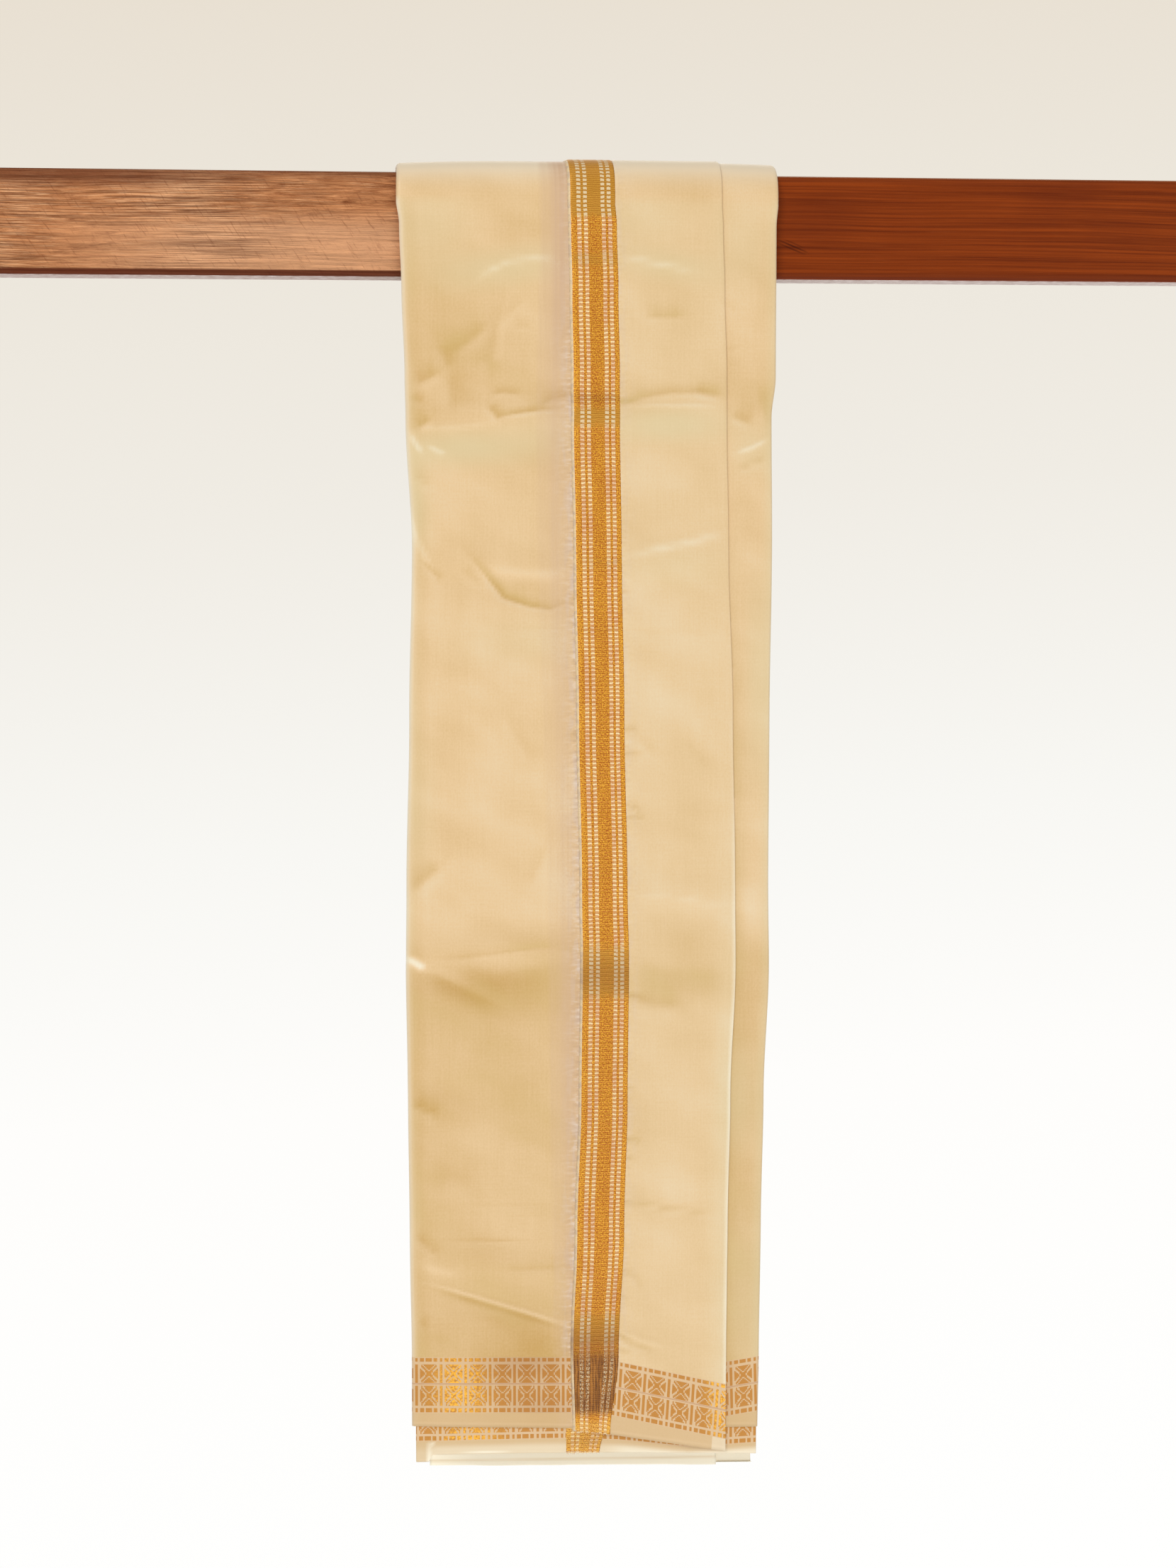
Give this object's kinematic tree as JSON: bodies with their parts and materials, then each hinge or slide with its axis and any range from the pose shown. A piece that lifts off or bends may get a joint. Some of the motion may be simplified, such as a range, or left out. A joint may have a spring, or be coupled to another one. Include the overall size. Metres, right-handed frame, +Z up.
{
  "type": "dhoti cloth on wooden rail",
  "caption": "Folded silk dhoti with a gold-striped selvedge border and woven end borders, hung flat over a plain wooden rail with both drops of nearly equal length.",
  "frame": {"origin": "centre of the rail's section, at the middle of the cloth's width and of the rail's length", "axes": "+Z up, +X along the rail to the viewer's right, -Y towards the viewer who faces the woven ends"},
  "size_m": [0.92, 0.0714, 0.9859],
  "materials": {
    "silk": "soft satin twill",
    "gold_thread": "ribbed metallic thread",
    "wood": "satin varnish"
  },
  "bodies": {
    "root": {"rail": "wood", "inner_folds": "silk", "second_end": "silk", "second_border": "gold_thread", "second_flap": "silk", "back_loop": "silk", "main_panel": "silk", "flap": "silk", "selvedge_border": "gold_thread"}
  },
  "joints": []
}
